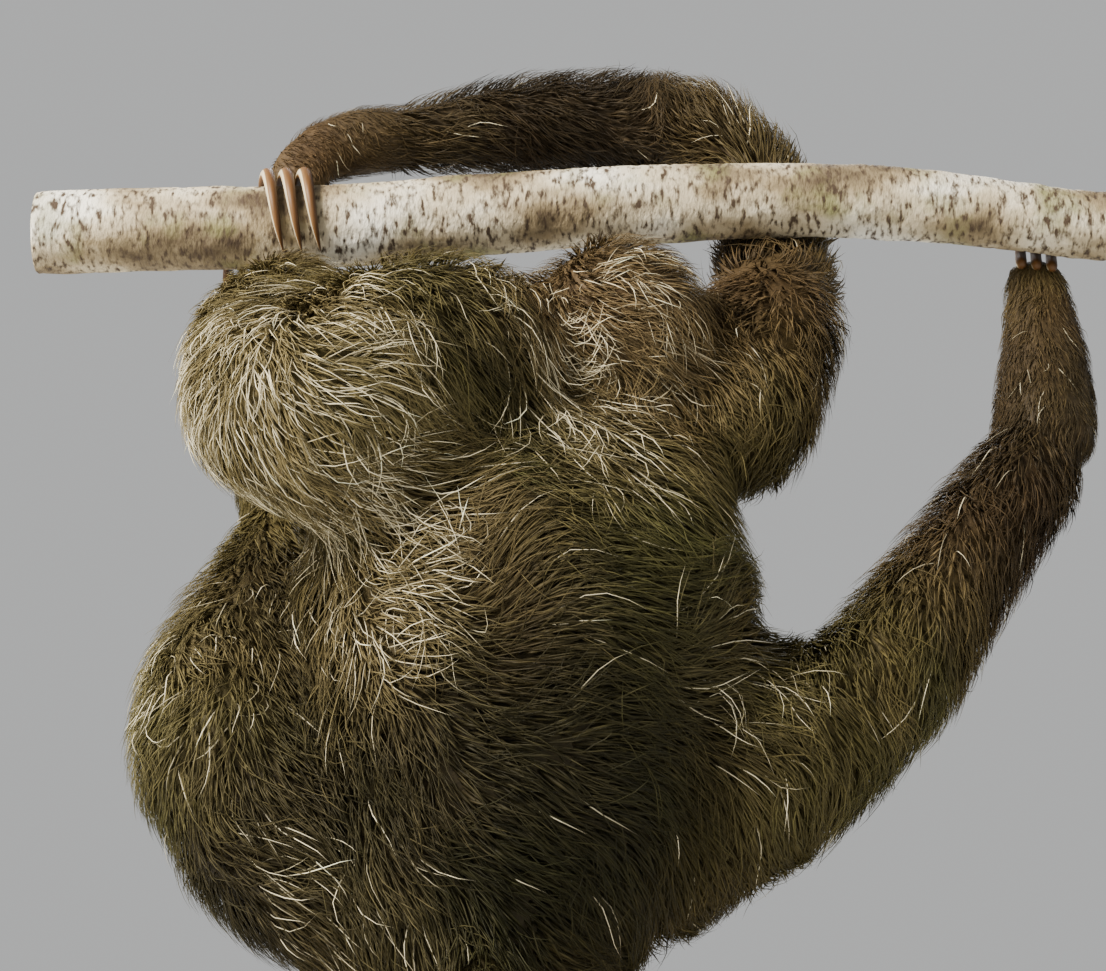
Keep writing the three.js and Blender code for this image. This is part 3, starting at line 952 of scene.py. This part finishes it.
# ---- materials ----
class Look:
    """One material, with short ways to add nodes to it."""

    def __init__(self, name):
        self.material = bpy.data.materials.new(name)
        self.material.use_nodes = True

    def feed(self, socket, value):
        """Gives a socket a constant, or another node's output."""
        if isinstance(value, bpy.types.NodeSocket):
            self.material.node_tree.links.new(value, socket)
        else:
            socket.default_value = value

    def node(self, kind, inputs, **settings):
        node = self.material.node_tree.nodes.new("ShaderNode" + kind)
        for name, value in settings.items():
            setattr(node, name, value)
        for name, value in inputs.items():
            self.feed(node.inputs[name], value)
        return node

    def place(self):
        return self.node("TexCoord", {}).outputs["Object"]

    def attribute(self, name, output="Fac"):
        return self.node("Attribute", {}, attribute_name=name).outputs[output]

    def noise(self, place, scale, detail, stretch=None):
        """Noise at a place, drawn out along the axes where the stretch is below one."""
        if stretch:
            place = self.node("Mapping", {"Vector": place, "Scale": stretch}).outputs["Vector"]
        return self.node("TexNoise", {"Vector": place, "Scale": scale, "Detail": detail}).outputs["Fac"]

    def ramp(self, value, *stops):
        """A colour for each share of a value, from 0 to 1."""
        node = self.node("ValToRGB", {"Fac": value})
        elements = node.color_ramp.elements
        while len(elements) < len(stops):
            elements.new(0.5)
        for element, (place, colour) in zip(elements, stops):
            element.position = place
            element.color = (*colour, 1.0)
        return node.outputs["Color"]

    def math(self, operation, *values):
        return self.node("Math", dict(enumerate(values)), operation=operation).outputs["Value"]

    def blend(self, share, a, b):
        """The first colour, or the second where the share is one."""
        return self.node("Mix", {"Factor": share, "A": a, "B": b}, data_type="RGBA").outputs["Result"]

    def shaded(self, colour, grain, low, high, span=(0.0, 1.0)):
        """The colour times a brightness, which runs from low to high as the grain runs over its span."""
        brightness = {"Value": grain, "From Min": span[0], "From Max": span[1], "To Min": low, "To Max": high}
        tone = self.node("MapRange", brightness).outputs["Result"]
        return self.node("VectorMath", {0: colour, "Scale": tone}, operation="SCALE").outputs["Vector"]

    def bump(self, height, strength, distance):
        inputs = {"Height": height, "Strength": strength, "Distance": distance}
        return self.node("Bump", inputs).outputs["Normal"]

    def finished(self, colour, roughness, **others):
        """The material, with this colour and roughness and these other inputs of its shader."""
        shader = self.material.node_tree.nodes["Principled BSDF"]
        self.feed(shader.inputs["Base Color"], colour)
        self.feed(shader.inputs["Roughness"], roughness)
        for name, value in others.items():
            self.feed(shader.inputs[SHADER_INPUTS[name]], value)
        return self.material


SHADER_INPUTS = {"specular": "Specular IOR Level", "metallic": "Metallic", "normal": "Normal"}


def fur_material(look, grain, contrast, strength):
    """Hair: the colour of its markings, broken up by fine grain."""
    markings = look.attribute("coat_colour", "Color")
    colour = look.shaded(markings, grain, 1.0 - contrast, 1.0 + contrast, span=(0.3, 0.7))
    return look.finished(colour, 0.6, specular=0.16, normal=look.bump(grain, strength, 0.4 * MM))


def skin_material():
    """Short flat fur on the skin."""
    look = Look("skin_fur")
    return fur_material(look, look.noise(look.place(), 520.0, 4.0), contrast=0.3, strength=0.6)


def hair_material():
    """Fine hairs side by side along a lock."""
    look = Look("coat_hair")
    streaks = look.noise(look.attribute("strand", "Vector"), 1.0, 2.5)
    return fur_material(look, streaks, contrast=0.42, strength=0.35)


def claw_material():
    """Amber horn, pale along its ridge and dark on its flanks: the horn's own tones, with painted highlight
    on the side toward -X and painted shade on the flank turned away.
    """
    look = Look("claw_horn")
    # From painted shade on the flank turned away, through amber horn, to painted highlight along the ridge.
    tint = look.ramp(
        look.attribute("ridge_and_lit_side"),
        (0.0, (0.036, 0.017, 0.006)),
        (0.45, (0.090, 0.038, 0.010)),
        (0.80, (0.130, 0.058, 0.016)),
        (0.94, (0.210, 0.108, 0.036)),
        (0.972, (0.740, 0.630, 0.420)),
    )
    grain = look.noise(look.place(), 900.0, 3.0, (1.0, 0.12, 0.12))
    normal = look.bump(grain, 0.25, 0.3 * MM)
    return look.finished(look.shaded(tint, grain, 0.7, 1.25), 0.5, specular=0.3, normal=normal)


def eye_material():
    """A dark brown iris round a black pupil, by how far the surface looks along the gaze."""
    look = Look("eye_wet")
    tint = look.ramp(
        look.attribute("gaze"),
        (0.0, (0.020, 0.010, 0.006)),
        (0.80, (0.022, 0.010, 0.006)),
        (0.88, (0.045, 0.019, 0.007)),
        (0.955, (0.032, 0.013, 0.005)),
        (0.965, (0.003, 0.002, 0.002)),
        (1.0, (0.002, 0.002, 0.002)),
    )
    return look.finished(tint, 0.07, specular=0.45)


def nose_material():
    """Dark leather with a fine grain."""
    look = Look("nose_leather")
    grain = look.noise(look.place(), 1400.0, 3.0)
    tint = look.ramp(grain, (0.3, (0.020, 0.015, 0.012)), (0.7, (0.060, 0.045, 0.035)))
    return look.finished(tint, 0.34, normal=look.bump(grain, 0.5, 0.3 * MM))


def bark_material():
    """Pale bark with brown scars and cracks and patches of green, and fresh wood at its sawn ends."""
    look = Look("bark")
    place = look.place()
    tint = look.ramp(
        look.noise(place, 26.0, 5.0, (0.6, 1.0, 1.0)),
        (0.33, (0.090, 0.060, 0.028)),
        (0.43, (0.290, 0.220, 0.120)),
        (0.53, (0.600, 0.510, 0.350)),
        (0.68, (0.930, 0.880, 0.760)),
    )
    algae = look.ramp(look.noise(place, 34.0, 6.0), (0.54, (0, 0, 0)), (0.70, (0.75, 0.75, 0.75)))
    tint = look.blend(algae, tint, (0.170, 0.175, 0.045, 1.0))
    flecks = look.ramp(look.noise(place, 210.0, 6.0, (2.0, 0.8, 0.8)), (0.35, (1, 1, 1)), (0.52, (0, 0, 0)))
    tint = look.blend(flecks, tint, (0.052, 0.030, 0.014, 1.0))
    cut = look.attribute("cut")
    rings = look.math("SINE", look.math("MULTIPLY", cut, YEAR_RINGS))
    wood = look.ramp(rings, (0.0, (0.52, 0.39, 0.22)), (0.8, (0.40, 0.28, 0.15)))
    tint = look.blend(look.math("GREATER_THAN", cut, CUT_EDGE), wood, tint)
    fine = look.noise(place, 420.0, 6.0, (1.6, 0.8, 0.8))
    return look.finished(tint, 0.82, normal=look.bump(fine, 0.75, 1.2 * MM))


def wood_material():
    """Dark oiled wood with its grain along X."""
    look = Look("stand_wood")
    grain = look.noise(look.place(), 60.0, 8.0, (0.12, 1.6, 1.6))
    dark, middle, light = (0.040, 0.020, 0.010), (0.095, 0.048, 0.022), (0.150, 0.080, 0.038)
    tint = look.ramp(grain, (0.3, dark), (0.5, middle), (0.7, light))
    return look.finished(tint, 0.35, normal=look.bump(grain, 0.15, 0.5 * MM))


def steel_material():
    """Brushed steel, its scratches upright."""
    look = Look("stand_steel")
    grain = look.noise(look.place(), 900.0, 3.0, (1.0, 1.0, 0.03))
    tint = look.ramp(grain, (0.3, (0.42, 0.42, 0.43)), (0.7, (0.62, 0.62, 0.63)))
    return look.finished(tint, 0.32, metallic=1.0, normal=look.bump(grain, 0.1, 0.1 * MM))


def dress(piece, material):
    piece.data.materials.clear()
    piece.data.materials.append(material)


def stand_in(piece, material, slot, *nodes):
    """Dresses a piece, and has it stand in for these nodes of the CAD."""
    dress(piece, material)
    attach(piece, "root")
    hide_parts(*nodes)


# ---- the skin and its coat ----
SKIN_TONE = (0.15, 0.60)  # from the hair's root to its tip: the skin's tone on the body and on the face

skin, SHARES = build_skin()
points, normals = read_points(skin.data), read_normals(skin.data)
FIELD = Field(points, normals, comb(points, normals, SHARES))
face = face_share(points, SHARES)
root_tone, tip_tone, _ = coat_tones(points, face)
paint(skin.data, mix(root_tone, tip_tone, mix(*SKIN_TONE, face)))
dress(skin, skin_material())
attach(skin, "root")
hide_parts(*FLESH)

hair = hair_material()
for label, layer in LAYERS.items():
    for piece in build_coat(skin, SHARES, label, layer):
        dress(piece, hair)
        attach(piece, "root")


# ---- claws, eyes and nose ----
def smooth_copy(name, nodes, levels):
    """The nodes' own solids in one piece, rounded off."""
    build = bmesh.new()
    for node in nodes:
        build.from_mesh(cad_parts[node].data)
    bmesh.ops.remove_doubles(build, verts=build.verts, dist=WELD)
    bmesh.ops.join_triangles(build, faces=build.faces, angle_face_threshold=0.7, angle_shape_threshold=0.9)
    piece = link(name, to_mesh(name, build))
    piece.modifiers.new("round", "SUBSURF").levels = levels
    applied(piece).shade_smooth()
    return piece


CLAW_RIDGE_AND_LIGHT = np.array([-2.4, 0.0, 0.0])  # draws the pale ridge toward -X, against outward at one: painted highlight on the side toward the key light, over the horn's own ridge

horn = claw_material()
for limb in ("left_hand", "right_hand", "left_foot", "right_foot"):
    claws = [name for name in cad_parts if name.startswith(f"{limb}_claw_")]
    piece = smooth_copy(f"{limb}_claws", claws, 2)
    points, normals = read_points(piece.data), read_normals(piece.data)
    # High where the claw faces outward and toward -X, the key light's side: painted highlight there, painted
    # shade on the flank turned away.
    ridge_and_light_way = unit(unit(points - perch_middle(points[:, 0])) + CLAW_RIDGE_AND_LIGHT)
    set_values(piece.data, "ridge_and_lit_side", "FLOAT", "value", dot(normals, ridge_and_light_way) * 0.5 + 0.5)
    stand_in(piece, horn, "claw", *claws)

wet = eye_material()
for side in SIDES:
    bpy.ops.mesh.primitive_uv_sphere_add(segments=48, ring_count=32, radius=EYE_RADIUS * MM)
    piece = bpy.context.object
    piece.name = f"eyeball_{side}"
    points = read_points(piece.data)
    gaze = eye_axes(side)[0]
    set_values(piece.data, "gaze", "FLOAT", "value", dot(unit(points), gaze) * 0.5 + 0.5)
    write_points(piece.data, points + EYE_CENTRES[side])
    piece.data.shade_smooth()
    stand_in(piece, wet, "eye", f"eye_{side}")

# A nostril on the nose pad, in millimetres from the pad's middle.
NOSTRIL = {"across": 3.6, "up": -0.9, "half_width": 1.9, "half_height": 1.5, "depth": 3.0}

nose = smooth_copy("nose_pad", ["nose"], 3)
points, normals = read_points(nose.data), read_normals(nose.data)
away = (points - NOSE_CENTRE) / MM
across, up = away @ HEAD_SIDE, away @ HEAD_UP
facing = smooth_step(0.1, 0.6, normals @ HEAD_FRONT)
for sign in SIDES.values():
    spot = ((across - sign * NOSTRIL["across"]) / NOSTRIL["half_width"]) ** 2
    spot += ((up - NOSTRIL["up"]) / NOSTRIL["half_height"]) ** 2
    points -= (facing * NOSTRIL["depth"] * MM * bell(spot))[:, None] * HEAD_FRONT
write_points(nose.data, points)
stand_in(nose, nose_material(), "nose", "nose")


# ---- the branch ----
BARK_ROWS = 300
BARK_SIDES = 96
BARK_LUMPS = 0.55 * MM  # relief of the bark's broad lumps
BARK_CRACKS = 0.45 * MM  # depth of its cracks
BARK_PROBES = (60, 32)  # where the solid's size is measured: along the branch and round it
BARK_INSET = 1.5 * MM  # keeps the sawn ends inside the solid's own
SAWN_BULGE = 0.7  # how far a sawn end stands out, as a share of the inset
SAWN_RINGS = (0.96, 0.9, 0.7, 0.45, 0.2)  # the rings of a sawn end, as shares of the branch's edge
CUT_EDGE = 0.965  # rings smaller than this share show fresh wood
IS_BARK = 2.0  # the share that marks the rings of bark
YEAR_RINGS = 75.0  # radians of tone from the middle of a sawn end to its edge


def circle(count):
    """This many angles, evenly round a circle."""
    return np.arange(count) * 2 * math.pi / count


def bark_reach(tree, x, turn):
    """How far the branch reaches from its line, in this direction."""
    direction = Vector((0.0, math.cos(turn), math.sin(turn)))
    found = tree.ray_cast(Vector(perch_middle(x)), direction)
    return found[3] if found[3] is not None else np.nan


def bark_points():
    """Rings of points on the knobbly bark, from end to end of the branch."""
    tree = BVHTree.FromObject(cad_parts["perch"], bpy.context.evaluated_depsgraph_get())
    low, high = PERCH_ENDS
    probe_x = np.linspace(low + 6 * MM, high - 6 * MM, BARK_PROBES[0])
    probe_turn = circle(BARK_PROBES[1])
    reach = np.array([[bark_reach(tree, x, turn) for turn in probe_turn] for x in probe_x])
    for _ in range(3):
        reach = (np.roll(reach, 1, 1) + 2 * reach + np.roll(reach, -1, 1)) / 4
    x = np.linspace(low + BARK_INSET, high - BARK_INSET, BARK_ROWS)
    turn = circle(BARK_SIDES)
    along = np.array([np.interp(x, probe_x, column) for column in reach.T]).T
    radius = np.array([np.interp(turn, probe_turn, row, period=2 * math.pi) for row in along])
    outward = np.stack([np.zeros_like(turn), np.cos(turn), np.sin(turn)], axis=1)
    points = perch_middle(x)[:, None] + radius[..., None] * outward
    flat = points.reshape(-1, 3)
    lumps = smooth_noise(flat, 13 * MM, 3.0)[:, 0] * BARK_LUMPS
    fine = smooth_noise(flat * np.array([2.4, 1.0, 1.0]), 5.5 * MM, 7.0)[:, 1]
    cracks = -np.clip(fine - 0.25, 0.0, 1.0) * 2.2 * BARK_CRACKS
    return points + (lumps + cracks).reshape(BARK_ROWS, BARK_SIDES, 1) * outward


def sawn_end(edge, outward):
    """Rings from the edge of the bark to the middle of its sawn end."""
    bulge = [outward * SAWN_BULGE * BARK_INSET, 0, 0]
    return [edge * share + edge.mean(0) * (1 - share) + bulge for share in SAWN_RINGS]


def build_bark():
    """The branch with round sides, knobbly bark and two sawn ends."""
    points = bark_points()
    rings = sawn_end(points[0], -1.0)[::-1] + list(points) + sawn_end(points[-1], 1.0)
    cut = [*reversed(SAWN_RINGS), *[IS_BARK] * BARK_ROWS, *SAWN_RINGS]
    build = bmesh.new()
    vertices = [[build.verts.new(point) for point in ring] for ring in rings]
    for here, there in zip(vertices, vertices[1:]):
        for side in range(BARK_SIDES):
            beside = (side + 1) % BARK_SIDES
            build.faces.new((here[side], there[side], there[beside], here[beside]))
    build.faces.new(vertices[0])
    build.faces.new(list(reversed(vertices[-1])))
    bmesh.ops.recalc_face_normals(build, faces=build.faces)
    mesh = to_mesh("bark", build)
    mesh.shade_smooth()
    set_values(mesh, "cut", "FLOAT", "value", np.repeat(cut, BARK_SIDES))
    return link("bark", mesh)


stand_in(build_bark(), bark_material(), "bark", "perch")


# ---- the stand ----
COLLAR_HEIGHT = 4.0 * MM
COLLAR_RIM = 4.0 * MM  # a collar's reach round its rod
COLLAR_EDGE = 1.0 * MM


def add_bar(name, radius, height, middle):
    """A round upright bar."""
    bpy.ops.mesh.primitive_cylinder_add(vertices=64, radius=radius, depth=height, location=middle)
    bar = bpy.context.object
    bar.name = name
    return bar


wood = wood_material()
steel = steel_material()
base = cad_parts["stand_base"]
base.data.materials.clear()
base.data.materials.append(wood)
BASE_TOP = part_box("stand_base")[1][2]
for number in (1, 2):
    low, high = (np.array(corner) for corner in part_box(f"stand_rod_{number}"))
    middle = (low + high) / 2
    width, _, height = high - low
    rod = add_bar(f"stand_bar_{number}", width / 2, height, middle)
    stand_in(rod, steel, "steel", f"stand_rod_{number}")
    middle[2] = BASE_TOP + COLLAR_HEIGHT / 2
    collar = add_bar(f"stand_collar_{number}", width / 2 + COLLAR_RIM, COLLAR_HEIGHT, middle)
    edge = collar.modifiers.new("edge", "BEVEL")
    edge.width = COLLAR_EDGE
    edge.segments = 3
    dress(collar, steel)
    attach(collar, "root")

# ---- floor, light and camera ----
bpy.ops.mesh.primitive_plane_add(size=12.0)
floor = bpy.context.object
floor.name = "floor"
floor.data.materials.append(Look("floor").finished((0.72, 0.72, 0.70, 1.0), 0.8))

world = bpy.data.worlds.new("studio")
world.use_nodes = True
sky = world.node_tree.nodes["Background"].inputs
sky["Color"].default_value = (0.97, 0.98, 0.98, 1.0)
sky["Strength"].default_value = 0.52
bpy.context.scene.world = world


LIT_PLACE = Vector((0.0, 0.0, 0.35))


def add_light(name, place, size, power, colour):
    data = bpy.data.lights.new(name, "AREA")
    data.size = size
    data.energy = power
    data.color = colour
    light = link(name, data)
    light.location = place
    light.rotation_euler = (LIT_PLACE - Vector(place)).to_track_quat("-Z", "Y").to_euler()


add_light("key", (-1.3, -1.1, 1.6), 0.7, 134.0, (1.0, 0.955, 0.86))
add_light("fill", (1.6, -1.2, 0.6), 1.2, 3.0, (0.92, 0.96, 1.0))
add_light("rim", (0.3, 1.6, 1.6), 1.0, 34.0, (0.96, 0.98, 1.0))

PHOTO_WIDTH = 1106
FOCAL_PIXELS = 3100.0  # the camera's focal length in the photo's pixels
CAMERA_DISTANCE = 1.55
CAMERA_PITCH = math.radians(11.0)  # the photo looks up
CAMERA_TARGET = Vector((0.0, 0.045, 0.375))

camera_data = bpy.data.cameras.new("camera")
camera_data.sensor_width = 36.0
camera_data.lens = FOCAL_PIXELS / PHOTO_WIDTH * camera_data.sensor_width
camera = link("camera", camera_data)
view = Vector((0.0, math.cos(CAMERA_PITCH), math.sin(CAMERA_PITCH)))
camera.location = CAMERA_TARGET - CAMERA_DISTANCE * view
camera.rotation_euler = view.to_track_quat("-Z", "Y").to_euler()
bpy.context.scene.camera = camera
